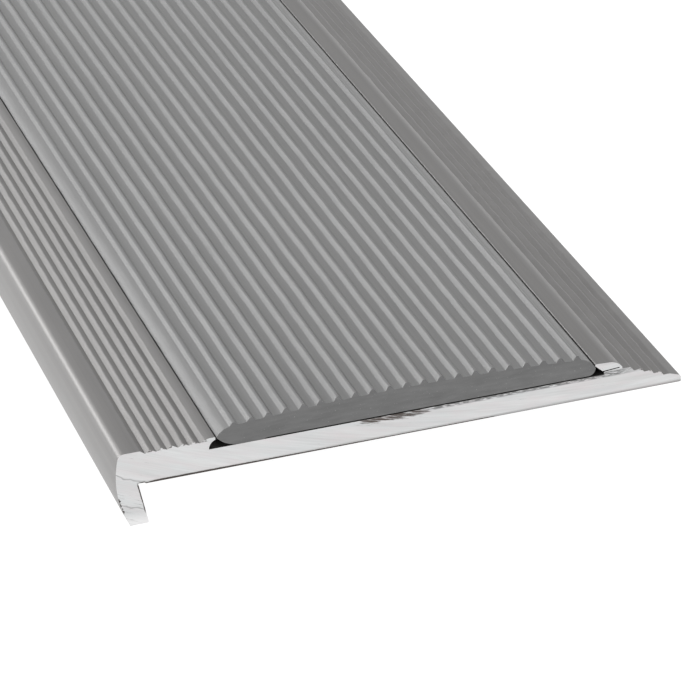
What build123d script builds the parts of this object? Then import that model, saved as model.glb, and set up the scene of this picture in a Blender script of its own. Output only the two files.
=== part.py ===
"""Edge strip for a floor or step: an aluminium profile with a ribbed PVC tread insert.

The strip runs along Y.  X goes from the rounded nose (-X) to the thin rear edge (+X).
Z = 0 is the flat underside that lies on the floor, and X = 0 is the middle of the width.
"""

from build123d import *
import math
import os

os.makedirs("parts", exist_ok=True)

# ---------------------------------------------------------------- driving sizes, mm
strip_length = 900.0
strip_width = 75.0
nose_top = 4.55           # height of the nose above the underside
lip_drop = 5.5            # the front lip hangs this far below the underside
floor_top = 3.0           # floor of the insert's channel

# front lip and nose
lip_root = 2.8            # bulge of the nose to the lip's inner corner
lip_lean = 10.0           # degrees that the lip leans in under the floor
lip_rounding = 0.15
relief_width = 1.0        # shallow relief in the lip's inner corner, so that a board seats flat
relief_depth = 0.15
nose_radius = 13.8        # large arc of the nose's outer face
nose_bulge_z = 0.4        # height of the furthest point of that arc
nose_rounding = 0.9

# reeding on the nose
reed_count = 6
reed_pitch = 1.41
reed_crest = 0.17         # flat on top of each reed
reed_top = 4.45
reed_depth = 0.38
land_rise = 0.6           # behind the last reed groove the land rises to the nose's height over this
first_reed = 0.6          # from the lip's inner corner to the first reed groove

# channel for the insert, measured from the lip's inner corner
channel_front = 9.35
front_lip_edge = 10.27
front_lip_under = 4.2     # height where the front lip's vertical edge ends
undercut_bulge = 0.25     # middle of the hollow under the front lip
undercut_bulge_rise = 0.72
channel_rear = 61.75
rear_lip_edge = 60.6
rear_lip_top = 4.67
rear_lip_rounding = 0.2
rear_lip_under = 4.4
rear_lip_flat = 1.84      # nearly flat top of the lip, and how much it falls
rear_lip_fall = 0.1
rear_lip_back = 0.6       # middle of the lip's rounded back, before its end
rear_lip_back_drop = 0.45
rear_lip_end = 64.25      # the rounded back comes down here
rear_lip_end_z = 3.65
crimp_slit = 0.13         # fold left under the rolled-down rear lip
crimp_slit_z = 3.4
crimp_slit_end = 63.9
crimp_slit_rise = 0.15
crimp_slit_mouth = 0.2    # the lip's underside is cut back this far at the fold's mouth

# saw-tooth ramp behind the channel
tooth_count = 4
tooth_pitch = 1.36
tooth_drop = 0.48         # each crest is this much lower than the one before
tooth_depth = 0.62
tooth_fall = 0.35         # width of the steep back of a tooth
first_crest = 65.45
first_crest_z = 3.42
ramp_start_drop = 0.04    # the ramp starts this far below its first crest
last_crest = 70.6
last_crest_z = 1.46
rear_edge_top = 0.85
rear_edge_chamfer = 0.2

# tread insert, measured from the lip's inner corner
insert_bottom = 3.03
insert_front = 10.37
insert_front_z = 4.42
insert_front_foot = 13.3  # the front land of the bottom starts here
insert_land_end = 16.6    # and ends here, where the underside steps up
insert_relief_z = 3.18    # underside behind the front land
insert_relief_step = 0.3
insert_rear_foot = 59.64  # the relieved underside ends here
insert_rear_round = 1.0
front_brow = 0.78         # middle of the front shoulder's curve, from the front tip
front_brow_rise = 0.8
front_shoulder_z = 5.6    # the front shoulder meets the first rib at this height
rear_shoulder = 58.9      # the rounded rear shoulder starts here
rear_shoulder_z = 5.62
rear_brow = 1.15          # middle of the rear shoulder's curve, from its start
rear_brow_drop = 0.62
crown_top = 7.1           # top of the middle ribs
crown_middle = 35.3
crown_radius = 330.0
rib_count = 21
rib_pitch = 2.275
rib_height = 0.62
rib_flank = 0.42          # width of each sloping side
rib_land = 0.32           # flat on top of each rib
first_rib = 12.15
front_rib_share = 0.62    # the front rib is only this share of the full height
rib_share_step = 0.12     # and each rib behind it is this much taller, up to the full height

# countersunk fixing screws, hidden under the insert
screw_shank = 3.2         # diameters
screw_thread = 4.2
screw_head = 7.8
screw_length = 20.0
screw_point = 2.6
head_below_floor = 0.15
head_rim = 0.2
hole_diameter = 4.5
countersink_diameter = 8.8
row_spacing = 26.0
outer_span = 780.0
inner_span = 260.0
recess_span = 4.4
recess_wing = 1.0
recess_depth = 1.5

front_x = -strip_width / 2
rear_x = strip_width / 2
corner_x = front_x + lip_root
section = Plane.XZ


def at(distance, height):
    """A point of the section, measured back from the lip's inner corner."""
    return (corner_x + distance, height)


def nose_face(height):
    """X of the nose's outer arc at a height."""
    return front_x + nose_radius - math.sqrt(nose_radius**2 - (height - nose_bulge_z) ** 2)


def crown(distance):
    """Height of the insert's crowned top at a distance from the lip's inner corner."""
    return crown_top - crown_radius + math.sqrt(crown_radius**2 - (distance - crown_middle) ** 2)


def reed_points():
    """Nose top from the first V-groove to the land beside the channel."""
    flank = (reed_pitch - reed_crest) / 2
    points = [at(first_reed, nose_top)]
    for reed in range(reed_count):
        bottom = first_reed + flank + reed * reed_pitch
        points.append(at(bottom, reed_top - reed_depth))
        if reed < reed_count - 1:
            points.append(at(bottom + flank, reed_top))
            points.append(at(bottom + flank + reed_crest, reed_top))
        else:
            points.append(at(bottom + flank, reed_top))
            points.append(at(bottom + flank + land_rise, nose_top))
    return points


def ramp_points():
    """Saw-tooth treads from behind the rear lip down to the rear edge."""
    points = [at(rear_lip_end, first_crest_z - ramp_start_drop)]
    for tooth in range(tooth_count):
        crest = first_crest + tooth * tooth_pitch
        crest_z = first_crest_z - tooth * tooth_drop
        points.append(at(crest, crest_z))
        points.append(at(crest + tooth_fall, crest_z - tooth_depth))
    points.append(at(last_crest, last_crest_z))
    points.append((rear_x - rear_edge_chamfer, rear_edge_top + rear_edge_chamfer / 2))
    points.append((rear_x, rear_edge_top - rear_edge_chamfer / 2))
    points.append((rear_x, 0))
    return points


def groove_floor(distance):
    """Bottom of the grooves between the insert's ribs, from the same crown."""
    return at(distance, crown(distance) - rib_height)


def rib_top(distance, rib):
    """Top of a rib: lower on the ribs next to the front shoulder."""
    share = min(1.0, front_rib_share + rib_share_step * rib)
    return at(distance, crown(distance) - rib_height * (1 - share))


def rib_points():
    """Ribbed top of the insert, from the front shoulder to the rear one."""
    points = []
    for rib in range(rib_count):
        foot = first_rib + rib * rib_pitch
        land = foot + rib_flank
        land_end = land + rib_land
        points.append(groove_floor(foot))
        points.append(rib_top(land, rib))
        points.append(rib_top(land_end, rib))
        points.append(groove_floor(land_end + rib_flank))
    points[0] = at(first_rib, front_shoulder_z)
    return points


channel_x = corner_x + (channel_front + channel_rear) / 2
screw_places = [
    (channel_x + side * row_spacing / 2, end * span / 2)
    for span in (outer_span, inner_span)
    for end in (-1, 1)
    for side in (-1, 1)
]

# ---------------------------------------------------------------- aluminium profile
lip_inner = lip_drop * math.tan(math.radians(lip_lean))
lip_outer = (nose_face(-lip_drop), -lip_drop)
nose_edge = (nose_face(nose_top), nose_top)
rear_lip_corner = at(rear_lip_edge, rear_lip_top)
rear_lip_bend = at(rear_lip_edge + rear_lip_flat, rear_lip_top - rear_lip_fall)
slit_end_z = crimp_slit_z + crimp_slit_rise

with BuildPart() as base_extrusion:
    with BuildSketch(section) as base_section:
        with BuildLine():
            Polyline(
                (rear_x, 0),
                at(relief_width, 0),
                at(relief_width - relief_depth, relief_depth),
                at(0, relief_depth),
                at(lip_inner, -lip_drop),
                lip_outer,
            )
            ThreePointArc(lip_outer, (front_x, nose_bulge_z), nose_edge)
            Polyline(nose_edge, *reed_points(), at(front_lip_edge, nose_top))
            Polyline(at(front_lip_edge, nose_top), at(front_lip_edge, front_lip_under))
            ThreePointArc(
                at(front_lip_edge, front_lip_under),
                at(channel_front + undercut_bulge, floor_top + undercut_bulge_rise),
                at(channel_front, floor_top),
            )
            Polyline(
                at(channel_front, floor_top),
                at(channel_rear, floor_top),
                at(channel_rear, crimp_slit_z),
                at(crimp_slit_end, slit_end_z),
                at(crimp_slit_end, slit_end_z + crimp_slit),
                at(channel_rear - crimp_slit_mouth, crimp_slit_z + crimp_slit),
                at(rear_lip_edge, rear_lip_under),
                rear_lip_corner,
                rear_lip_bend,
            )
            ThreePointArc(
                rear_lip_bend,
                at(rear_lip_end - rear_lip_back, rear_lip_top - rear_lip_back_drop),
                at(rear_lip_end, rear_lip_end_z),
            )
            Polyline(at(rear_lip_end, rear_lip_end_z), *ramp_points())
        make_face()
        fillet(base_section.vertices().sort_by_distance(nose_edge)[0], nose_rounding)
        fillet(base_section.vertices().sort_by_distance(rear_lip_corner)[0], rear_lip_rounding)
        fillet(base_section.vertices().group_by(Axis.Y)[0], lip_rounding)
    extrude(amount=strip_length / 2, both=True)
    with Locations(*[(x, y, floor_top) for x, y in screw_places]):
        CounterSinkHole(
            radius=hole_diameter / 2,
            counter_sink_radius=countersink_diameter / 2,
            counter_sink_angle=90,
        )

base_extrusion.part.label = "base_extrusion"
export_step(base_extrusion.part, "parts/base_extrusion.step")

# ---------------------------------------------------------------- ribbed PVC insert
ribs = rib_points()
front_foot = at(insert_front_foot, insert_bottom)
front_tip = at(insert_front, insert_front_z)
rear_foot = at(insert_rear_foot, insert_relief_z)
rear_tip = at(insert_rear_foot + insert_rear_round, insert_relief_z + insert_rear_round)
rear_crest = at(rear_shoulder, rear_shoulder_z)

with BuildPart() as tread_insert:
    with BuildSketch(section):
        with BuildLine():
            Polyline(
                front_foot,
                at(insert_land_end, insert_bottom),
                at(insert_land_end + insert_relief_step, insert_relief_z),
                rear_foot,
            )
            RadiusArc(rear_foot, rear_tip, -insert_rear_round)
            ThreePointArc(
                rear_tip,
                at(rear_shoulder + rear_brow, rear_shoulder_z - rear_brow_drop),
                rear_crest,
            )
            Polyline(rear_crest, *reversed(ribs))
            ThreePointArc(
                ribs[0],
                at(insert_front + front_brow, insert_front_z + front_brow_rise),
                front_tip,
            )
            TangentArc(front_foot, front_tip, tangent=(-1, 0))
        make_face()
    extrude(amount=strip_length / 2, both=True)

tread_insert.part.label = "tread_insert"
export_step(tread_insert.part, "parts/tread_insert.step")

# ---------------------------------------------------------------- fixing screws
head_top = floor_top - head_below_floor
cone_height = (screw_head - screw_shank) / 2
cone_top = head_top - head_rim
tip_z = head_top - screw_length


def fixing_screw(x, y):
    """A countersunk wood screw that stands in the channel floor at x, y."""
    with BuildPart() as screw:
        with BuildSketch(Plane(origin=(x, y, 0), x_dir=(1, 0, 0), z_dir=(0, -1, 0))):
            with BuildLine():
                Polyline(
                    (0, tip_z),
                    (screw_thread / 2, tip_z + screw_point),
                    (screw_thread / 2, 0),
                    (screw_shank / 2, 0),
                    (screw_shank / 2, cone_top - cone_height),
                    (screw_head / 2, cone_top),
                    (screw_head / 2, head_top),
                    (0, head_top),
                    close=True,
                )
            make_face()
        revolve(axis=Axis((x, y, 0), (0, 0, 1)))
        with BuildSketch(Plane((x, y, head_top))):
            Rectangle(recess_span, recess_wing)
            Rectangle(recess_wing, recess_span)
        extrude(amount=-recess_depth, taper=10, mode=Mode.SUBTRACT)
    return screw.part


for number, (x, y) in enumerate(screw_places, start=1):
    screw_part = fixing_screw(x, y)
    screw_part.label = f"fixing_screw_{number}"
    export_step(screw_part, f"parts/fixing_screw_{number}.step")
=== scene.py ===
"""Looks for an aluminium edge strip with a ribbed PVC tread insert and hidden fixing screws.

Section lengths are in millimetres, measured back from the lip's inner corner as on a profile
drawing, and heights are above the flat underside.  They become metres when a mesh is made,
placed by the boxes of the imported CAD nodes.
"""

import math

import bmesh
import bpy
from mathutils import Matrix, Vector, noise


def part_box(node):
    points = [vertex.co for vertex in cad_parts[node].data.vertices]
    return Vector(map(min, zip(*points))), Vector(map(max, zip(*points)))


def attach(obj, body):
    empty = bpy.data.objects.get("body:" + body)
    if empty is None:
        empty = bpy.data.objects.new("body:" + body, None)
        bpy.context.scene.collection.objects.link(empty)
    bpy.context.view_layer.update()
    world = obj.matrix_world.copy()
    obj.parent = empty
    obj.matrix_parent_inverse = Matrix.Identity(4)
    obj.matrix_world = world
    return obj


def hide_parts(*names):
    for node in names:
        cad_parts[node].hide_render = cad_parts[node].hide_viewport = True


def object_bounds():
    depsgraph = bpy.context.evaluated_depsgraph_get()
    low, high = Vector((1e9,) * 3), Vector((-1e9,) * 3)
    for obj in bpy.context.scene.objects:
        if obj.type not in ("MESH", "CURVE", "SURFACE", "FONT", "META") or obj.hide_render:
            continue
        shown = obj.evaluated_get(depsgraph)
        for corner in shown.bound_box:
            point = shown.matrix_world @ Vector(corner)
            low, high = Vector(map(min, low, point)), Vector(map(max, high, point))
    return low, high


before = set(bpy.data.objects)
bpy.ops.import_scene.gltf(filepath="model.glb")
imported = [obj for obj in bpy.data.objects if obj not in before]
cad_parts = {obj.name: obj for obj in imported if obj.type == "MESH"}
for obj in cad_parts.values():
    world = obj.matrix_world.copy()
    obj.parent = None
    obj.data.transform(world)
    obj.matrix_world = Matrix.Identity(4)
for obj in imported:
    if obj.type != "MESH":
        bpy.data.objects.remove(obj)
cad_low, cad_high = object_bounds()

MM = 0.001
base_low, base_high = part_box("base_extrusion")
insert_low, insert_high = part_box("tread_insert")
screw_nodes = sorted(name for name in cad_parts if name.startswith("fixing_screw"))

# ---------------------------------------------------------------- section sizes, mm
LIP_ROOT = 2.8
LIP_DROP = 5.5
LIP_LEAN = math.radians(10)
LIP_ROUNDING = 0.15
NOSE_ARC_START = 0.5  # the nose's long arc starts this far above the lip's tip
NOSE_ARC_END = 0.7  # and ends this far below the nose's top
RELIEF_WIDTH = 1.0
RELIEF_DEPTH = 0.15
NOSE_TOP = 4.55
NOSE_RADIUS = 13.8
NOSE_BULGE_Z = 0.4
NOSE_ROUNDING = 0.9
REED_COUNT = 6
REED_PITCH = 1.41
REED_CREST = 0.17
REED_TOP = 4.45
REED_DEPTH = 0.38
LAND_RISE = 0.6  # the land behind the last groove rises to the nose's height over this
FIRST_REED = 0.6
FLOOR_TOP = 3.0
CHANNEL_FRONT = 9.35
FRONT_LIP_EDGE = 10.27
FRONT_LIP_UNDER = 4.2
UNDERCUT_BULGE = 0.25
UNDERCUT_BULGE_RISE = 0.72
CHANNEL_REAR = 61.75
REAR_LIP_EDGE = 60.6
REAR_LIP_TOP = 4.67
LIP_EDGE_ROUNDING = 0.2
REAR_LIP_UNDER = 4.4
REAR_LIP_FLAT = 1.84  # nearly flat top of the lip, and how much it falls
REAR_LIP_FALL = 0.1
REAR_LIP_BACK = 0.6  # middle of the lip's rounded back, before its end
REAR_LIP_BACK_DROP = 0.45
REAR_LIP_END = 64.25
REAR_LIP_END_Z = 3.65
CRIMP_SLIT = 0.13
CRIMP_SLIT_Z = 3.4
CRIMP_SLIT_END = 63.9
CRIMP_SLIT_RISE = 0.15
CRIMP_SLIT_MOUTH = 0.2
TOOTH_COUNT = 4
TOOTH_PITCH = 1.36
TOOTH_DROP = 0.48
TOOTH_DEPTH = 0.62
TOOTH_FALL = 0.35
FIRST_CREST = 65.45
FIRST_CREST_Z = 3.42
RAMP_START_DROP = 0.04
LAST_CREST = 70.6
LAST_CREST_Z = 1.46
REAR_EDGE_TOP = 0.85
REAR_EDGE_CHAMFER = 0.2
EDGE_SOFTNESS = 0.07  # rounding that the die leaves on every other corner
RAMP_SOFTNESS = 0.18  # and on the ramp's teeth, which are worn rounder
INSERT_BOTTOM = 3.03
INSERT_LAND_END = 16.6  # the underside is relieved behind its front land
INSERT_RELIEF_Z = 3.18
INSERT_RELIEF_STEP = 0.3
INSERT_FRONT = 10.37
INSERT_FRONT_Z = 4.42
INSERT_FRONT_FOOT = 13.3
FRONT_BROW = 0.78  # middle of the front shoulder's curve, from the front tip
FRONT_BROW_RISE = 0.8
INSERT_SHOULDER_Z = 5.6  # where the front shoulder meets the first rib
INSERT_REAR_FOOT = 59.64
INSERT_REAR_ROUND = 1.0
REAR_SHOULDER = 58.9
REAR_SHOULDER_Z = 5.62
REAR_BROW = 1.15  # middle of the rear shoulder's curve, from its start
REAR_BROW_DROP = 0.62
INSERT_SOFTNESS = 0.09
CROWN_TOP = 7.1
CROWN_MIDDLE = 35.3
CROWN_RADIUS = 330.0
RIB_COUNT = 21
RIB_PITCH = 2.275
RIB_HEIGHT = 0.62
RIB_FLANK = 0.42
RIB_LAND = 0.32
FIRST_RIB = 12.15
FRONT_RIB_SHARE = 0.62  # the ribs next to the front shoulder are lower
RIB_SHARE_STEP = 0.12
SCREW_SHANK = 1.6  # radii
SCREW_THREAD = 2.1
SCREW_ROOT = 1.4
SCREW_HEAD = 3.9
SCREW_POINT = 2.6
HEAD_RIM = 0.2
THREAD_PITCH = 1.8
HOLE = 2.25
COUNTERSINK = 4.4
RECESS_SPAN = 4.4
RECESS_WING = 1.0
RECESS_DEPTH = 1.5
RECESS_LEVELS = [  # height over the head's top, then the shares of the wing's span and width
    (-RECESS_DEPTH, 0.42, 0.55),
    (0, 1.0, 1.0),
    (0.5, 1.1, 1.0),
]

REAR_EDGE = (base_high.x - base_low.x) / MM - LIP_ROOT  # the whole width behind the inner corner
CORNER_X = base_low.x + LIP_ROOT * MM  # metres, in the frame
UNDERSIDE = 0.0


# ---------------------------------------------------------------- outlines
def arc(start, middle, end, steps):
    """Points along the circle through three points, both ends included."""
    (ax, az), (bx, bz), (cx, cz) = start, middle, end
    d = 2 * (ax * (bz - cz) + bx * (cz - az) + cx * (az - bz))
    a2, b2, c2 = ax * ax + az * az, bx * bx + bz * bz, cx * cx + cz * cz
    ox = (a2 * (bz - cz) + b2 * (cz - az) + c2 * (az - bz)) / d
    oz = (a2 * (cx - bx) + b2 * (ax - cx) + c2 * (bx - ax)) / d
    radius = math.hypot(ax - ox, az - oz)
    first = math.atan2(az - oz, ax - ox)
    turn_middle = (math.atan2(bz - oz, bx - ox) - first) % math.tau
    turn = (math.atan2(cz - oz, cx - ox) - first) % math.tau
    if turn_middle > turn:
        turn -= math.tau
    angles = [first + turn * i / steps for i in range(steps + 1)]
    return [(ox + radius * math.cos(t), oz + radius * math.sin(t)) for t in angles]


def corner(before, at, after, radius, steps):
    """Points of the arc that rounds the corner at a point between two straight runs."""
    p = Vector(at)
    to_before = (Vector(before) - p).normalized()
    to_after = (Vector(after) - p).normalized()
    half = to_before.angle(to_after) / 2
    reach = radius / math.tan(half)
    middle = (to_before + to_after).normalized() * (radius / math.sin(half) - radius)
    start = p + to_before * reach
    end = p + to_after * reach
    return arc(tuple(start), tuple(p + middle), tuple(end), steps)


def softened(points, radius_at, steps, sharpest=14):
    """The closed outline with each remaining sharp corner slightly rounded, as dies leave it.

    Corners that turn by fewer degrees than sharpest are left alone.
    """
    out = []
    for i, here in enumerate(points):
        before = Vector(points[i - 1]) - Vector(here)
        after = Vector(points[(i + 1) % len(points)]) - Vector(here)
        if math.pi - before.angle(after) < math.radians(sharpest):
            out.append(here)
            continue
        reach = min(radius_at(here[0]), before.length * 0.4, after.length * 0.4)
        start = Vector(here) + before.normalized() * reach
        end = Vector(here) + after.normalized() * reach
        for k in range(steps + 1):
            t = k / steps
            out.append(tuple(start.lerp(Vector(here), t).lerp(Vector(here).lerp(end, t), t)))
    return out


def nose_face(height):
    """Place of the nose's outer arc at a height; it is in front of the corner, so negative."""
    return NOSE_RADIUS - LIP_ROOT - math.sqrt(NOSE_RADIUS**2 - (height - NOSE_BULGE_Z) ** 2)


def crown(distance):
    """Height of the insert's crowned top."""
    return CROWN_TOP - CROWN_RADIUS + math.sqrt(CROWN_RADIUS**2 - (distance - CROWN_MIDDLE) ** 2)


def reed_points():
    """The V-grooves on the nose."""
    flank = (REED_PITCH - REED_CREST) / 2
    points = [(FIRST_REED, NOSE_TOP)]
    for reed in range(REED_COUNT):
        bottom = FIRST_REED + flank + reed * REED_PITCH
        points.append((bottom, REED_TOP - REED_DEPTH))
        if reed < REED_COUNT - 1:
            points.append((bottom + flank, REED_TOP))
            points.append((bottom + flank + REED_CREST, REED_TOP))
        else:
            points.append((bottom + flank, REED_TOP))
            points.append((bottom + flank + LAND_RISE, NOSE_TOP))
    return points


def ramp_points():
    """The saw-tooth treads behind the rear lip, down to the rear edge."""
    points = [(REAR_LIP_END, FIRST_CREST_Z - RAMP_START_DROP)]
    for tooth in range(TOOTH_COUNT):
        crest = FIRST_CREST + tooth * TOOTH_PITCH
        crest_z = FIRST_CREST_Z - tooth * TOOTH_DROP
        points.append((crest, crest_z))
        points.append((crest + TOOTH_FALL, crest_z - TOOTH_DEPTH))
    points.append((LAST_CREST, LAST_CREST_Z))
    points.append((REAR_EDGE - REAR_EDGE_CHAMFER, REAR_EDGE_TOP + REAR_EDGE_CHAMFER / 2))
    points.append((REAR_EDGE, REAR_EDGE_TOP - REAR_EDGE_CHAMFER / 2))
    return points


def base_outline():
    """The aluminium section, once round from the rear edge along the underside."""
    lip_inner = (LIP_DROP * math.tan(LIP_LEAN), -LIP_DROP)
    lip_outer = (nose_face(-LIP_DROP), -LIP_DROP)
    relief = (0, RELIEF_DEPTH)
    arc_start_z = NOSE_ARC_START - LIP_DROP
    arc_end_z = NOSE_TOP - NOSE_ARC_END
    arc_start = (nose_face(arc_start_z), arc_start_z)
    arc_end = (nose_face(arc_end_z), arc_end_z)
    nose_edge = (nose_face(NOSE_TOP), NOSE_TOP)
    first_reed = (FIRST_REED, NOSE_TOP)
    points = [(REAR_EDGE, 0), (RELIEF_WIDTH, 0), (RELIEF_WIDTH - RELIEF_DEPTH, RELIEF_DEPTH), relief]
    points += corner(relief, lip_inner, lip_outer, LIP_ROUNDING, 6)
    points += corner(lip_inner, lip_outer, arc_start, LIP_ROUNDING, 6)
    points += arc(arc_start, (-LIP_ROOT, NOSE_BULGE_Z), arc_end, 32)
    points += corner(arc_end, nose_edge, first_reed, NOSE_ROUNDING, 10)
    points += reed_points()
    points.append((FRONT_LIP_EDGE, NOSE_TOP))
    undercut = (CHANNEL_FRONT + UNDERCUT_BULGE, FLOOR_TOP + UNDERCUT_BULGE_RISE)
    points += arc((FRONT_LIP_EDGE, FRONT_LIP_UNDER), undercut, (CHANNEL_FRONT, FLOOR_TOP), 8)
    slit_end_z = CRIMP_SLIT_Z + CRIMP_SLIT_RISE
    lip_under = (REAR_LIP_EDGE, REAR_LIP_UNDER)
    points += [
        (CHANNEL_REAR, FLOOR_TOP),
        (CHANNEL_REAR, CRIMP_SLIT_Z),
        (CRIMP_SLIT_END, slit_end_z),
        (CRIMP_SLIT_END, slit_end_z + CRIMP_SLIT),
        (CHANNEL_REAR - CRIMP_SLIT_MOUTH, CRIMP_SLIT_Z + CRIMP_SLIT),
        lip_under,
    ]
    lip_corner = (REAR_LIP_EDGE, REAR_LIP_TOP)
    lip_bend = (REAR_LIP_EDGE + REAR_LIP_FLAT, REAR_LIP_TOP - REAR_LIP_FALL)
    back = (REAR_LIP_END - REAR_LIP_BACK, REAR_LIP_TOP - REAR_LIP_BACK_DROP)
    points += corner(lip_under, lip_corner, lip_bend, LIP_EDGE_ROUNDING, 6)
    points += arc(lip_bend, back, (REAR_LIP_END, REAR_LIP_END_Z), 12)
    points += ramp_points()
    return softened(points, lambda x: RAMP_SOFTNESS if x > REAR_LIP_END else EDGE_SOFTNESS, 3)


def insert_outline():
    """The PVC section, once round from the flat bottom's rear end."""
    turn = INSERT_REAR_ROUND * math.sqrt(0.5)
    rear_foot = (INSERT_REAR_FOOT, INSERT_RELIEF_Z)
    rear_belly = (INSERT_REAR_FOOT + turn, INSERT_RELIEF_Z + INSERT_REAR_ROUND - turn)
    rear_tip = (INSERT_REAR_FOOT + INSERT_REAR_ROUND, INSERT_RELIEF_Z + INSERT_REAR_ROUND)
    rear_brow = (REAR_SHOULDER + REAR_BROW, REAR_SHOULDER_Z - REAR_BROW_DROP)
    points = arc(rear_foot, rear_belly, rear_tip, 9)
    points += arc(rear_tip, rear_brow, (REAR_SHOULDER, REAR_SHOULDER_Z), 12)[1:]
    for rib in reversed(range(RIB_COUNT)):
        foot = FIRST_RIB + rib * RIB_PITCH
        land = foot + RIB_FLANK
        far_foot = land + RIB_LAND + RIB_FLANK
        share = min(1.0, FRONT_RIB_SHARE + RIB_SHARE_STEP * rib)
        missing = RIB_HEIGHT * (1 - share)
        points.append((far_foot, crown(far_foot) - RIB_HEIGHT))
        points.append((land + RIB_LAND, crown(land + RIB_LAND) - missing))
        points.append((land, crown(land) - missing))
        points.append((foot, crown(foot) - RIB_HEIGHT))
    front_tip = (INSERT_FRONT, INSERT_FRONT_Z)
    front_brow = (INSERT_FRONT + FRONT_BROW, INSERT_FRONT_Z + FRONT_BROW_RISE)
    points.pop()
    points += arc((FIRST_RIB, INSERT_SHOULDER_Z), front_brow, front_tip, 14)
    rise = INSERT_FRONT_Z - INSERT_BOTTOM
    run = INSERT_FRONT_FOOT - INSERT_FRONT
    radius = (run * run + rise * rise) / (2 * rise)
    half_turn = math.atan2(run, radius - rise) / 2
    belly = (
        INSERT_FRONT_FOOT - radius * math.sin(half_turn),
        INSERT_BOTTOM + radius * (1 - math.cos(half_turn)),
    )
    points += arc(front_tip, belly, (INSERT_FRONT_FOOT, INSERT_BOTTOM), 10)[1:]
    points.append((INSERT_LAND_END, INSERT_BOTTOM))
    points.append((INSERT_LAND_END + INSERT_RELIEF_STEP, INSERT_RELIEF_Z))
    return softened(points, lambda x: INSERT_SOFTNESS, 2)


# ---------------------------------------------------------------- mesh building
def mark_sharp(edges, degrees=30):
    """Breaks the shading at edges whose faces turn by more than this."""
    for edge in edges:
        if len(edge.link_faces) == 2 and edge.calc_face_angle(0) > math.radians(degrees):
            edge.smooth = False


def linked(name, contents):
    """A new object for a mesh, light or camera, in the scene's collection."""
    piece = bpy.data.objects.new(name, contents)
    bpy.context.collection.objects.link(piece)
    return piece


def mesh_from(bm, name):
    """A mesh from finished geometry, which is freed."""
    mesh = bpy.data.meshes.new(name)
    bm.to_mesh(mesh)
    bm.free()
    return mesh


def bridge(bm, rings):
    """Faces between neighbouring rings; a ring of one point closes the shape there."""
    for here, there in zip(rings, rings[1:]):
        count = max(len(here), len(there))
        for k in range(count):
            m = (k + 1) % count
            near_side = [here[k % len(here)], here[m % len(here)]]
            far_side = [there[m % len(there)], there[k % len(there)]]
            bm.faces.new(list(dict.fromkeys(near_side + far_side)))


def extrusion(name, outline, places, ripple):
    """A closed bar of one section through rings along Y, with its two cut ends as material 1."""
    bm = bmesh.new()
    rings = []
    for y in places:
        ring = []
        for x, z in outline:
            dx, dz = ripple(x, y / MM, z)
            ring.append(bm.verts.new((CORNER_X + (x + dx) * MM, y, UNDERSIDE + (z + dz) * MM)))
        rings.append(ring)
    bridge(bm, rings)
    for ring in (rings[0], rings[-1]):
        bm.faces.new(ring).material_index = 1
    bmesh.ops.recalc_face_normals(bm, faces=bm.faces)
    for face in bm.faces:
        face.smooth = face.material_index == 0
    mark_sharp(bm.edges)
    return linked(name, mesh_from(bm, name))


def turned(name, levels, segments, centre):
    """A closed solid about Z through (radius, height) levels; a radius may vary with the angle."""
    bm = bmesh.new()
    rings = []
    for radius, z in levels:
        if radius == 0:
            rings.append([bm.verts.new((centre.x, centre.y, centre.z + z * MM))])
            continue
        ring = []
        for k in range(segments):
            angle = math.tau * k / segments
            reach = radius(angle) if callable(radius) else radius
            x = centre.x + reach * math.cos(angle) * MM
            y = centre.y + reach * math.sin(angle) * MM
            ring.append(bm.verts.new((x, y, centre.z + z * MM)))
        rings.append(ring)
    bridge(bm, rings)
    bmesh.ops.recalc_face_normals(bm, faces=bm.faces)
    return linked(name, mesh_from(bm, name))


def cut(piece, cutters):
    """Subtracts the cutters from the piece, applies that to its mesh, and removes them."""
    for cutter in cutters:
        modifier = piece.modifiers.new("cut", "BOOLEAN")
        modifier.operation = "DIFFERENCE"
        modifier.solver = "EXACT"
        modifier.object = cutter
    bpy.context.view_layer.update()
    evaluated = piece.evaluated_get(bpy.context.evaluated_depsgraph_get())
    mesh = bpy.data.meshes.new_from_object(evaluated)
    piece.modifiers.clear()
    piece.data = mesh
    for cutter in cutters:
        bpy.data.objects.remove(cutter)


def shade_smooth(mesh):
    """Smooth shading everywhere, broken at the sharp edges."""
    bm = bmesh.new()
    bm.from_mesh(mesh)
    for element in [*bm.faces, *bm.edges]:
        element.smooth = True
    mark_sharp(bm.edges)
    bm.to_mesh(mesh)
    bm.free()


# ---------------------------------------------------------------- unevenness along the strip
REED_WANDER = 0.07  # sideways, and how far the crests dip, all in mm
REED_DIP = 0.04
TOOTH_WANDER = 0.12
TOOTH_DIP = 0.14
RIB_WANDER = 0.08
RIB_DIP = 0.03
RIB_WANDER_Z = 5.6  # the ribs wander above this height, fully from the rise above it
RIB_WANDER_RISE = 0.8
FRONT_GAP_WANDER = 0.12
REAR_BULGE = 0.04  # the insert's rear edge fills its gap better away from its ends
REAR_BULGE_START = 0.6  # behind the rear shoulder, and the width over which it grows
REAR_BULGE_REACH = 20  # distance from an end over which it grows
RAMP_FOOT_Z = 0.9  # the ramp's last flat stays straight below this


def wander(lane, y, length, seed):
    """Smooth noise between -1 and 1 along the strip, in swings of about this length."""
    return noise.noise(Vector((lane, y / length, seed)))


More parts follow.
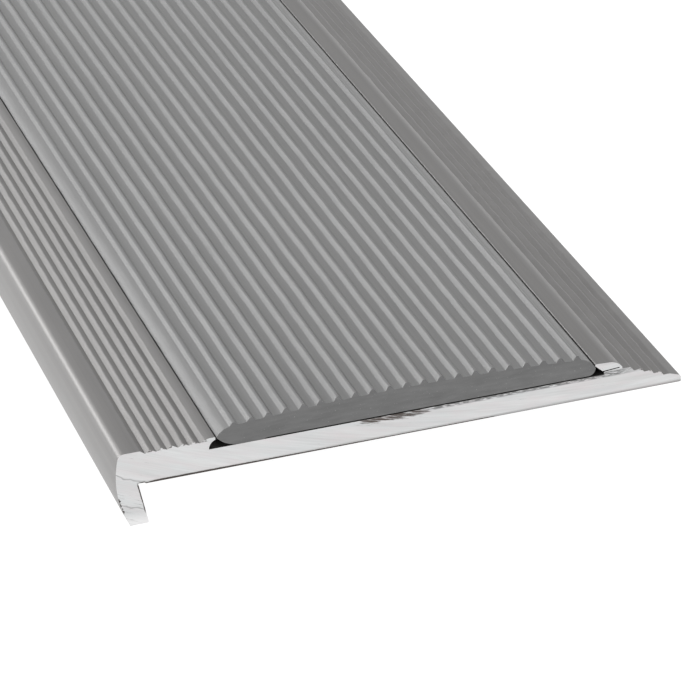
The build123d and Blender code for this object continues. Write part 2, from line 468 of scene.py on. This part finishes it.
def metal_ripple(x, y, z):
    """The thin crests of the reeds and of the ramp's teeth wander, as a worn die leaves them."""
    reeds_end = FIRST_REED + REED_COUNT * REED_PITCH
    on_reeds = FIRST_REED < x < reeds_end and z > REED_TOP - REED_DEPTH / 2
    on_ramp = FIRST_CREST - TOOTH_PITCH < x < REAR_EDGE - 1 and z > RAMP_FOOT_Z
    if not on_reeds and not on_ramp:
        return 0.0, 0.0
    crest = round((x - FIRST_REED) / REED_PITCH)
    side = wander(crest * 5.3, y, 2.5, 21.7)
    dip = abs(wander(crest * 4.1, y, 4.0, 13.4))
    if on_ramp:
        return TOOTH_WANDER * side, -TOOTH_DIP * dip
    return REED_WANDER * side, -REED_DIP * dip


def rib_ripple(x, y, z):
    """The soft ribs wander a little, and so do the insert's two long edges."""
    if x < INSERT_FRONT + 1:
        return FRONT_GAP_WANDER * abs(wander(3.3, y, 9.0, 5.9)), 0.0
    behind = x - REAR_SHOULDER - REAR_BULGE_START
    if behind > 0:
        from_end = min(y - insert_low.y / MM, insert_high.y / MM - y)
        return REAR_BULGE * min(behind / REAR_BULGE_START, from_end / REAR_BULGE_REACH, 1.0), 0.0
    share = min(max((z - RIB_WANDER_Z) / RIB_WANDER_RISE, 0.0), 1.0)
    if not share:
        return 0.0, 0.0
    rib = round((x - FIRST_RIB) / RIB_PITCH)
    side = wander(rib * 7.3, y, 6.0, 1.7)
    lift = wander(rib * 3.1, y, 16.0, 9.4)
    return share * RIB_WANDER * side, share * RIB_DIP * lift


def even_places(low, high, step):
    """Places from low to high, both included, about a step apart."""
    count = round((high - low) / step)
    return [low + (high - low) * i / count for i in range(count + 1)]


# the rings stand closest together near the end that the camera is close to
FINE_LENGTH, FINE_STEP = 100 * MM, 1 * MM
MIDDLE_LENGTH, MIDDLE_STEP = 300 * MM, 2.5 * MM
COARSE_STEP = 6 * MM
near, far = insert_low.y + FINE_LENGTH, insert_low.y + MIDDLE_LENGTH
stations = even_places(insert_low.y, near, FINE_STEP)
stations += even_places(near, far, MIDDLE_STEP)[1:]
stations += even_places(far, insert_high.y, COARSE_STEP)[1:]


def screw_axis(node_name):
    """The point of a screw's axis that lies on the underside."""
    low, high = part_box(node_name)
    return Vector(((low.x + high.x) / 2, (low.y + high.y) / 2, 0))


# ---------------------------------------------------------------- aluminium base
CUTTER_SPARE = 0.5  # the hole cutters stand out this far above the channel floor
hole_profile = [
    (0, -1),
    (HOLE, -1),
    (HOLE, FLOOR_TOP - (COUNTERSINK - HOLE)),
    (COUNTERSINK, FLOOR_TOP),
    (COUNTERSINK, FLOOR_TOP + CUTTER_SPARE),
    (0, FLOOR_TOP + CUTTER_SPARE),
]
base = extrusion("base_profile", base_outline(), stations, metal_ripple)
cut(base, [turned("hole_cutter", hole_profile, 48, screw_axis(name)) for name in screw_nodes])
shade_smooth(base.data)

# ---------------------------------------------------------------- PVC insert
insert = extrusion("ribbed_insert", insert_outline(), stations, rib_ripple)

# ---------------------------------------------------------------- screws
screw_low, screw_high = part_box(screw_nodes[0])
HEAD_TOP = screw_high.z / MM
TIP_Z = screw_low.z / MM
CONE_TOP = HEAD_TOP - HEAD_RIM
THREAD_CLEAR = 0.02  # the ridge stays this far inside the CAD screw's outline
THREAD_STEP = 0.11  # height between the rings of the threaded part
THREAD_END = -0.6  # the thread has faded out at this height
THREAD_FADE = 1.2  # and is full this much lower
TIP_STEP = 0.12
RIM_ROUNDING = 0.08
RIM_UNDER_ROUNDING = 0.06
SCREW_TURN = 37  # degrees between one screw's cross and the next one's


def thread_radius(z, angle):
    """Radius of the screw below its head: a pointed core with one sharp helical ridge."""
    taper = min(1.0, (z - TIP_Z) / SCREW_POINT)
    fade = min(max((THREAD_END - z) / THREAD_FADE, 0.0), 1.0)
    turn = (z / THREAD_PITCH - angle / math.tau) % 1.0
    ridge = max(0.0, 1 - abs(turn - 0.5) / 0.3)
    core = SCREW_SHANK + (SCREW_ROOT - SCREW_SHANK) * fade
    return taper * (core + fade * (SCREW_THREAD - THREAD_CLEAR - core) * ridge)


def screw_levels():
    """The (radius, height) levels of one screw from its tip to the middle of its head."""
    levels = [(0, TIP_Z)]
    z = TIP_Z + TIP_STEP
    while z < 0:
        levels.append((lambda angle, z=z: thread_radius(z, angle), z))
        z += THREAD_STEP
    neck = (SCREW_SHANK, CONE_TOP - (SCREW_HEAD - SCREW_SHANK))
    under_rim = (SCREW_HEAD, CONE_TOP)
    rim = (SCREW_HEAD, HEAD_TOP)
    levels += [(SCREW_SHANK, 0), neck]
    levels += corner(neck, under_rim, rim, RIM_UNDER_ROUNDING, 2)
    levels += corner(under_rim, rim, (0, HEAD_TOP), RIM_ROUNDING, 3)
    levels += [(SCREW_HEAD * share, HEAD_TOP) for share in (0.8, 0.5, 0.2)]
    levels.append((0, HEAD_TOP))
    return levels


def recess_wing(along_x):
    """One wing of the cross recess: wide at the head's top, narrower and shorter at its bottom."""
    long, thin = RECESS_SPAN / 2, RECESS_WING / 2
    bm = bmesh.new()
    for z, scale_long, scale_thin in RECESS_LEVELS:
        for sx, sy in ((-1, -1), (1, -1), (1, 1), (-1, 1)):
            x, y = sx * long * scale_long, sy * thin * scale_thin
            if not along_x:
                x, y = y, x
            bm.verts.new((x * MM, y * MM, (HEAD_TOP + z) * MM))
    bmesh.ops.convex_hull(bm, input=bm.verts)
    return linked("recess_cutter", mesh_from(bm, "recess_cutter"))


template = turned("screw_template", screw_levels(), 48, Vector())
cut(template, [recess_wing(True), recess_wing(False)])
shade_smooth(template.data)
screw_data = template.data
bpy.data.objects.remove(template)
screws = []
for number, screw_node in enumerate(screw_nodes, start=1):
    mesh = screw_data.copy()
    turn = Matrix.Rotation(math.radians(SCREW_TURN * number), 4, "Z")
    mesh.transform(Matrix.Translation(screw_axis(screw_node)) @ turn)
    screws.append((screw_node, linked(f"countersunk_screw_{number}", mesh)))


# ---------------------------------------------------------------- materials
def node(tree, kind, inputs=None, **settings):
    """A new node with its settings, and its inputs set to values or linked to sockets."""
    made = tree.nodes.new("ShaderNode" + kind)
    for key, value in settings.items():
        setattr(made, key, value)
    for key, value in (inputs or {}).items():
        if isinstance(value, bpy.types.NodeSocket):
            tree.links.new(value, made.inputs[key])
        else:
            made.inputs[key].default_value = value
    return made


def grain(tree, size, detail=2.0, roughness=0.5, coords=None, seed=0.0):
    """Noise from 0 to 1 whose features are about size = (x, y, z) millimetres."""
    coords = coords or node(tree, "TexCoord").outputs["Object"]
    scale = [1 / (length * MM) for length in size]
    scaled = node(tree, "VectorMath", {0: coords, 1: scale}, operation="MULTIPLY").outputs[0]
    made = node(
        tree,
        "TexNoise",
        {"Vector": scaled, "W": seed, "Scale": 1.0, "Detail": detail, "Roughness": roughness},
        noise_dimensions="4D",
    )
    return made.outputs["Fac"]


def maths(tree, operation, *values):
    return node(tree, "Math", dict(enumerate(values)), operation=operation).outputs[0]


def plus(tree, a, b):
    return maths(tree, "ADD", a, b)


def minus(tree, a, b):
    return maths(tree, "SUBTRACT", a, b)


def times(tree, a, b):
    return maths(tree, "MULTIPLY", a, b)


def remap(tree, value, low, high, to_low, to_high):
    """Turns a value between low and high into one between to_low and to_high, and no further."""
    made = node(tree, "MapRange", {0: value, 1: low, 2: high, 3: to_low, 4: to_high})
    return made.outputs[0]


def mixed(tree, factor, a, b):
    made = node(tree, "Mix", {0: factor, 6: a, 7: b}, data_type="RGBA")
    return made.outputs[2]


def grey(value, warm=0.0):
    """An opaque grey, with a share of warmth."""
    return (value * (1 + warm), value, value * (1 - warm / 2), 1)


def material(name, metallic):
    """A new material, its node tree and its Principled shader."""
    made = bpy.data.materials.new(name)
    made.use_nodes = True
    shader = made.node_tree.nodes["Principled BSDF"]
    shader.inputs["Metallic"].default_value = metallic
    return made, made.node_tree, shader


def feed(tree, shader, **sockets):
    """Links values into the shader's inputs; an underscore stands for a space in their names."""
    for key, value in sockets.items():
        tree.links.new(value, shader.inputs[key.replace("_", " ")])


def bump(tree, height, distance, strength):
    """Normals of a relief whose full depth is a distance in mm."""
    made = node(tree, "Bump", {"Height": height, "Distance": distance * MM, "Strength": strength})
    return made.outputs["Normal"]


def mill_aluminium():
    """Extruded aluminium: fine die lines along the length, faint bands and dull blotches."""
    made, tree, shader = material("mill_aluminium", 1.0)
    lines = grain(tree, (0.16, 90, 0.16), detail=3, roughness=0.6)
    bands = grain(tree, (1.3, 240, 1.3), detail=2, seed=3.0)
    blotches = grain(tree, (9, 22, 9), detail=4, seed=7.0)
    tone = plus(tree, times(tree, lines, 0.35), times(tree, bands, 0.4))
    tone = plus(tree, tone, times(tree, blotches, 0.25))
    colour = mixed(tree, remap(tree, tone, 0.35, 0.65, 0, 1), grey(0.205, 0.022), grey(0.265, 0.022))
    rough = remap(tree, plus(tree, lines, blotches), 0.7, 1.3, 0.38, 0.48)
    feed(tree, shader, Base_Color=colour, Roughness=rough, Normal=bump(tree, lines, 0.01, 0.5))
    return made


def within(tree, value, low, high, soft):
    """1 between two limits and 0 outside them, with soft ends."""
    rise = remap(tree, value, low - soft, low + soft, 0, 1)
    fall = remap(tree, value, high - soft, high + soft, 1, 0)
    return times(tree, rise, fall)


# The saw cut, in mm across from the lip's inner corner and up from the underside.  A zone is
# its two limits and how soft they are.
BLADE_ACROSS = 65.0  # centre of the saw blade
BLADE_UP = 155.0
UPPER_SCRATCH = (167.45, 167.58, 0.08)  # from the blade's centre
LOWER_SCRATCH = (171.1, 171.22, 0.07)
SMEAR_ACROSS = (29.0, 38.0, 1.2)
SMEAR_UP = (2.15, 4.0, 0.35)
# burr, and painted shade of the gap under the insert, along the top of the channel floor
BURR_AND_GAP_SHADE_ACROSS = (38.0, 65.5, 1.5)
BURR_AND_GAP_SHADE_UP = (2.62, 3.35, 0.1)
# dark burr along the cut's underside edge, also painted shade of its down-facing edge
UNDER_BURR_AND_SHADE_ACROSS = (0.1, 47.0, 0.3)
INNER_BURR_UP = (-3.9, 0.1, 0.3)
OUTER_BURR_UP = (-3.6, -1.4, 0.2)
REED_BURR_ACROSS = (1.4, 9.3, 0.2)
RAMP_BURR_ACROSS = (65.0, 70.5, 0.2)
PINKISH = (0.62, 0.56, 0.57, 1)
BLUISH = (0.55, 0.6, 0.61, 1)
SMEAR_BROWN = (0.06, 0.045, 0.038, 1)
# the colour of the burrs, and of the painted shade along the cut's underside edge
BURR_AND_SHADE_BROWN = (0.05, 0.04, 0.035, 1)


def section_coords(tree):
    """Distances across and up on the section, in mm."""
    coords = node(tree, "TexCoord").outputs["Object"]
    origin = (CORNER_X, 0, UNDERSIDE)
    metres = node(tree, "VectorMath", {0: coords, 1: origin}, operation="SUBTRACT").outputs[0]
    lengths = node(tree, "VectorMath", {0: metres, 3: 1 / MM}, operation="SCALE").outputs[0]
    across, _, up = node(tree, "SeparateXYZ", {0: lengths}).outputs
    return across, up


def blade_coords(tree, across, up):
    """Distance from the blade's centre in mm, and coordinates in metres that follow its arcs."""
    blade_x = minus(tree, across, BLADE_ACROSS)
    blade_z = minus(tree, up, BLADE_UP)
    squares = plus(tree, maths(tree, "POWER", blade_x, 2.0), maths(tree, "POWER", blade_z, 2.0))
    radius = maths(tree, "SQRT", squares)
    angle = maths(tree, "ARCTAN2", blade_x, times(tree, blade_z, -1.0))
    outward = times(tree, radius, MM)
    round_arc = times(tree, angle, BLADE_UP * MM)
    return radius, node(tree, "CombineXYZ", {0: outward, 1: round_arc}).outputs[0]


def edge_burrs_and_shade(tree, across, up):
    """Thin dark burrs along the underside and along both faces of the lip, with painted shade on the
    underside one.
    """
    ragged = grain(tree, (0.5, 1, 0.5), detail=2, roughness=0.7, seed=23.0)
    relief = remap(tree, across, RELIEF_WIDTH - RELIEF_DEPTH, RELIEF_WIDTH, RELIEF_DEPTH, 0)
    height = minus(tree, minus(tree, up, relief), times(tree, ragged, 0.16))
    height = minus(tree, height, remap(tree, across, 1.2, 2.2, 0, 0.12))
    height = plus(tree, height, remap(tree, across, 8, 34, 0, 0.14))
    # burr and painted shade along the underside edge of the cut
    under = times(tree, remap(tree, height, 0.04, 0.1, 1, 0), within(tree, across, *UNDER_BURR_AND_SHADE_ACROSS))
    under = times(tree, under, remap(tree, up, -0.3, -0.2, 0, 1))

    from_lip = minus(tree, times(tree, up, -math.tan(LIP_LEAN)), across)
    depth = minus(tree, from_lip, times(tree, ragged, 0.24))
    inner = times(tree, remap(tree, depth, -0.02, 0.05, 1, 0), within(tree, up, *INNER_BURR_UP))

    above_bulge = maths(tree, "POWER", minus(tree, up, NOSE_BULGE_Z), 2.0)
    face = maths(tree, "SQRT", minus(tree, NOSE_RADIUS**2, above_bulge))
    inward = plus(tree, plus(tree, across, face), LIP_ROOT - NOSE_RADIUS)
    inward = minus(tree, inward, remap(tree, ragged, 0.45, 0.62, 0, 0.24))
    outer = times(tree, remap(tree, inward, -0.02, 0.04, 1, 0), within(tree, up, *OUTER_BURR_UP))
    return maths(tree, "MAXIMUM", maths(tree, "MAXIMUM", under, inner), outer)


def crest_burrs(tree, across, up):
    """Dark flecks of burr on the crests of the reeds and of the ramp's teeth."""
    fleck = grain(tree, (0.4, 1, 0.4), detail=2, roughness=0.7, seed=41.0)
    on_reeds = times(tree, within(tree, across, *REED_BURR_ACROSS), remap(tree, up, 4.12, 4.25, 0, 1))
    fall = times(tree, minus(tree, across, FIRST_CREST), TOOTH_DROP / TOOTH_PITCH)
    high = remap(tree, plus(tree, up, fall), 3.05, 3.2, 0, 1)
    on_ramp = times(tree, within(tree, across, *RAMP_BURR_ACROSS), high)
    return times(tree, plus(tree, on_reeds, on_ramp), remap(tree, fleck, 0.46, 0.54, 0, 0.85))


def sawn_aluminium():
    """The cut ends: arcs left by a saw blade's teeth, smears, dark burrs along the edges, painted
    shade along the underside edge and under the insert, and a painted highlight on the lip.
    """
    made, tree, shader = material("sawn_aluminium", 1.0)
    across, up = section_coords(tree)
    radius, swept = blade_coords(tree, across, up)
    teeth = grain(tree, (0.2, 7, 1), detail=3, roughness=0.65, coords=swept)
    wide = grain(tree, (1.4, 22, 1), detail=2, coords=swept, seed=2.0)
    tint = grain(tree, (0.8, 4, 1), detail=2, coords=swept, seed=5.0)
    cool = grain(tree, (2.5, 12, 1), detail=2, coords=swept, seed=31.0)
    tone = plus(tree, times(tree, teeth, 0.55), times(tree, wide, 0.45))
    colour = mixed(tree, remap(tree, tone, 0.35, 0.65, 0, 1), grey(0.51), grey(0.7))
    colour = mixed(tree, remap(tree, tint, 0.4, 0.7, 0, 0.5), colour, PINKISH)
    colour = mixed(tree, remap(tree, cool, 0.4, 0.6, 0, 0.22), colour, BLUISH)

    # smears dragged along the blade's arcs, most of them under the middle of the insert
    smear = grain(tree, (0.15, 2.6, 1), detail=4, roughness=0.65, coords=swept, seed=11.0)
    in_floor = times(tree, within(tree, across, *SMEAR_ACROSS), within(tree, up, *SMEAR_UP))
    in_lip = times(tree, remap(tree, across, 0.6, 2.4, 1, 0), remap(tree, up, 1.2, -1.5, 0.3, 1))
    favoured = plus(tree, times(tree, in_floor, 0.27), times(tree, in_lip, 0.08))
    smeared = remap(tree, plus(tree, smear, favoured), 0.66, 0.76, 0, 1)
    colour = mixed(tree, times(tree, smeared, 0.92), colour, SMEAR_BROWN)

    # painted highlight: the lip's cut face is painted brighter towards its tip
    colour = mixed(tree, remap(tree, up, -5.1, -3.7, 0.5, 0), colour, grey(0.85))

    # two scratches right across the lip
    unsteady = remap(tree, grain(tree, (2, 2, 2), seed=37.0), 0.3, 0.7, -0.25, 0.25)
    away = plus(tree, radius, unsteady)
    both = plus(tree, within(tree, away, *UPPER_SCRATCH), within(tree, away, *LOWER_SCRATCH))
    scratch = times(tree, both, remap(tree, across, 0.2, 1.2, 0.65, 0))
    colour = mixed(tree, scratch, colour, grey(0.17))

    # the ribbon of burr along the top of the channel floor, under the insert's rear half, darkened
    # further as painted shade of the gap under the insert
    burr_and_gap_shade = grain(tree, (0.16, 1.1, 1), detail=2, roughness=0.7, coords=swept, seed=17.0)
    drifting = plus(tree, across, remap(tree, burr_and_gap_shade, 0.3, 0.7, -1.5, 1.5))
    zone = times(tree, within(tree, drifting, *BURR_AND_GAP_SHADE_ACROSS), within(tree, up, *BURR_AND_GAP_SHADE_UP))
    burr_and_gap_shade = times(tree, zone, remap(tree, burr_and_gap_shade, 0.38, 0.52, 0, 0.9))
    colour = mixed(tree, burr_and_gap_shade, colour, grey(0.16))

    dark = maths(tree, "MAXIMUM", edge_burrs_and_shade(tree, across, up), crest_burrs(tree, across, up))
    colour = mixed(tree, times(tree, dark, 0.96), colour, BURR_AND_SHADE_BROWN)
    rough = remap(tree, teeth, 0.3, 0.7, 0.4, 0.55)
    feed(tree, shader, Base_Color=colour, Roughness=rough, Normal=bump(tree, teeth, 0.012, 0.6))
    return made


def grey_pvc(name, low, high, roughness):
    """Matt grey PVC with a fine speckle and faint lines along the extrusion."""
    made, tree, shader = material(name, 0.0)
    speckle = grain(tree, (0.18, 0.3, 0.18), detail=2)
    lines = grain(tree, (0.35, 40, 0.35), detail=2, seed=4.0)
    cloud = grain(tree, (14, 60, 14), detail=3, seed=8.0)
    tone = plus(tree, times(tree, speckle, 0.3), times(tree, lines, 0.3))
    tone = plus(tree, tone, times(tree, cloud, 0.4))
    colour = mixed(tree, remap(tree, tone, 0.35, 0.65, 0, 1), grey(low), grey(high))
    rough = remap(tree, speckle, 0.3, 0.7, roughness - 0.05, roughness + 0.06)
    feed(tree, shader, Base_Color=colour, Roughness=rough, Normal=bump(tree, speckle, 0.012, 0.4))
    return made


def cut_pvc():
    """The insert's sawn ends: duller PVC with faint pale drag marks and a few specks."""
    made, tree, shader = material("cut_pvc", 0.0)
    drag = grain(tree, (3, 1, 0.5), detail=4, roughness=0.6)
    cloud = grain(tree, (6, 6, 2.5), detail=2, seed=2.0)
    speck = grain(tree, (0.2, 0.2, 0.2), detail=1, seed=6.0)
    tone = plus(tree, times(tree, drag, 0.6), times(tree, cloud, 0.4))
    colour = mixed(tree, remap(tree, tone, 0.35, 0.65, 0, 1), grey(0.085), grey(0.125))
    colour = mixed(tree, remap(tree, speck, 0.68, 0.75, 0, 0.7), colour, grey(0.3))
    rough = remap(tree, drag, 0.3, 0.7, 0.52, 0.66)
    feed(tree, shader, Base_Color=colour, Roughness=rough, Normal=bump(tree, drag, 0.03, 0.5))
    return made


def zinc_steel():
    """Bright zinc plating with a faint cloudiness."""
    made, tree, shader = material("zinc_steel", 1.0)
    cloud = grain(tree, (1.5, 1.5, 1.5), detail=3)
    fine = grain(tree, (0.12, 0.12, 0.12), detail=2, seed=2.0)
    colour = mixed(tree, cloud, (0.62, 0.62, 0.60, 1), (0.72, 0.73, 0.75, 1))
    rough = remap(tree, cloud, 0.3, 0.7, 0.22, 0.36)
    feed(tree, shader, Base_Color=colour, Roughness=rough, Normal=bump(tree, fine, 0.008, 0.4))
    return made


base.data.materials.clear()
base.data.materials.append(mill_aluminium())
base.data.materials.append(sawn_aluminium())
for face in base.data.polygons:  # its cut ends are the faces that look along the strip
    face.material_index = 1 if abs(face.normal.y) > 0.99 else 0
insert.data.materials.append(grey_pvc("grey_pvc", 0.125, 0.16, 0.33))
insert.data.materials.append(cut_pvc())
steel = zinc_steel()
for screw_node, screw in screws:
    screw.data.materials.clear()
    screw.data.materials.append(steel)

# ---------------------------------------------------------------- floor
FLOOR_REACH = 30  # metres from its middle to its edges
FLOOR_GLOW = 0.96
bm = bmesh.new()
bmesh.ops.create_grid(bm, x_segments=8, y_segments=8, size=FLOOR_REACH)
bmesh.ops.translate(bm, verts=bm.verts, vec=(0, 0, cad_low.z))
floor = linked("floor", mesh_from(bm, "floor"))
made, tree, shader = material("white_floor", 0.0)
mottle = grain(tree, (400, 400, 400), detail=3)
feed(tree, shader, Base_Color=mixed(tree, mottle, grey(0.13), grey(0.16)))
shader.inputs["Roughness"].default_value = 0.9
shader.inputs["Emission Color"].default_value = grey(1.0)
shader.inputs["Emission Strength"].default_value = FLOOR_GLOW
floor.data.materials.append(made)

# ---------------------------------------------------------------- light
# brightness of the surroundings, from the horizon (0) to straight above (1)
SKY = [(0.0, 0.82), (0.22, 0.88), (0.4, 0.76), (0.6, 0.63), (0.84, 0.8), (1.0, 1.04)]
LAMP_WIDTH = 1.6  # metres
LAMP_HEIGHT = 1.0
LAMP_DISTANCE = 2.0
LAMP_TARGET = Vector((0, base_low.y + 100 * MM, 0))
world = bpy.context.scene.world or bpy.data.worlds.new("studio")
bpy.context.scene.world = world
world.use_nodes = True
tree = world.node_tree
background = next(n for n in tree.nodes if n.type == "BACKGROUND")
direction = node(tree, "TexCoord").outputs["Generated"]
height = node(tree, "SeparateXYZ", {0: direction}).outputs[2]
ramp = node(tree, "ValToRGB", {0: height})
while len(ramp.color_ramp.elements) < len(SKY):
    ramp.color_ramp.elements.new(1.0)
for stop, (place, value) in zip(ramp.color_ramp.elements, SKY):
    stop.position = place
    stop.color = grey(value)
tree.links.new(ramp.outputs[0], background.inputs["Color"])


def softbox(name, bearing, elevation, watts):
    """A wide area light aimed near the photographed end; its bearing turns from +Y towards -X."""
    light = bpy.data.lights.new(name, "AREA")
    light.shape = "RECTANGLE"
    light.size, light.size_y = LAMP_WIDTH, LAMP_HEIGHT
    light.energy = watts
    lamp = linked(name, light)
    bearing, elevation = math.radians(bearing), math.radians(elevation)
    level = math.cos(elevation)
    towards = Vector((-math.sin(bearing) * level, math.cos(bearing) * level, math.sin(elevation)))
    lamp.location = LAMP_TARGET + towards * LAMP_DISTANCE
    lamp.rotation_euler = (-towards).to_track_quat("-Z", "Y").to_euler()
    lamp.visible_camera = False


softbox("key", 45, 20, 15.5)
softbox("rear_fill", 20, 35, 4.0)
softbox("front_fill", 160, 40, 19.5)

# ---------------------------------------------------------------- camera
HEADING = math.radians(15.696)
PITCH = math.radians(-25.770)
ROLL = math.radians(-3.528)
# the point at the middle of the picture, on the plane of the underside
AIM = Vector(((base_low.x + base_high.x) / 2 + 0.95 * MM, base_low.y + 26.03 * MM, UNDERSIDE))
DISTANCE = 0.52792
SENSOR_WIDTH = 36  # mm
LENS = 205.7  # mm
heading = Vector((math.sin(HEADING), math.cos(HEADING), 0))
forward = heading * math.cos(PITCH) + Vector((0, 0, math.sin(PITCH)))
level = Vector((math.cos(HEADING), -math.sin(HEADING), 0))
upright = level.cross(forward)
right = level * math.cos(ROLL) + upright * math.sin(ROLL)
up = right.cross(forward)
camera_data = bpy.data.cameras.new("camera")
camera_data.sensor_width = SENSOR_WIDTH
camera_data.lens = LENS
camera_data.clip_start = 0.01
camera = linked("camera", camera_data)
turned_to_view = Matrix((right, up, -forward)).transposed().to_4x4()
camera.matrix_world = Matrix.Translation(AIM - forward * DISTANCE) @ turned_to_view
bpy.context.scene.camera = camera
bpy.context.scene.view_settings.view_transform = "Standard"

# ---------------------------------------------------------------- into the frame
for piece, node_name, slot_name, body in [
    (base, "base_extrusion", "mill_aluminium", "root"),
    (insert, "tread_insert", "grey_pvc", "insert"),
    *[(screw, screw_node, "zinc_steel", "root") for screw_node, screw in screws],
]:
    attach(piece, body)
    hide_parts(node_name)
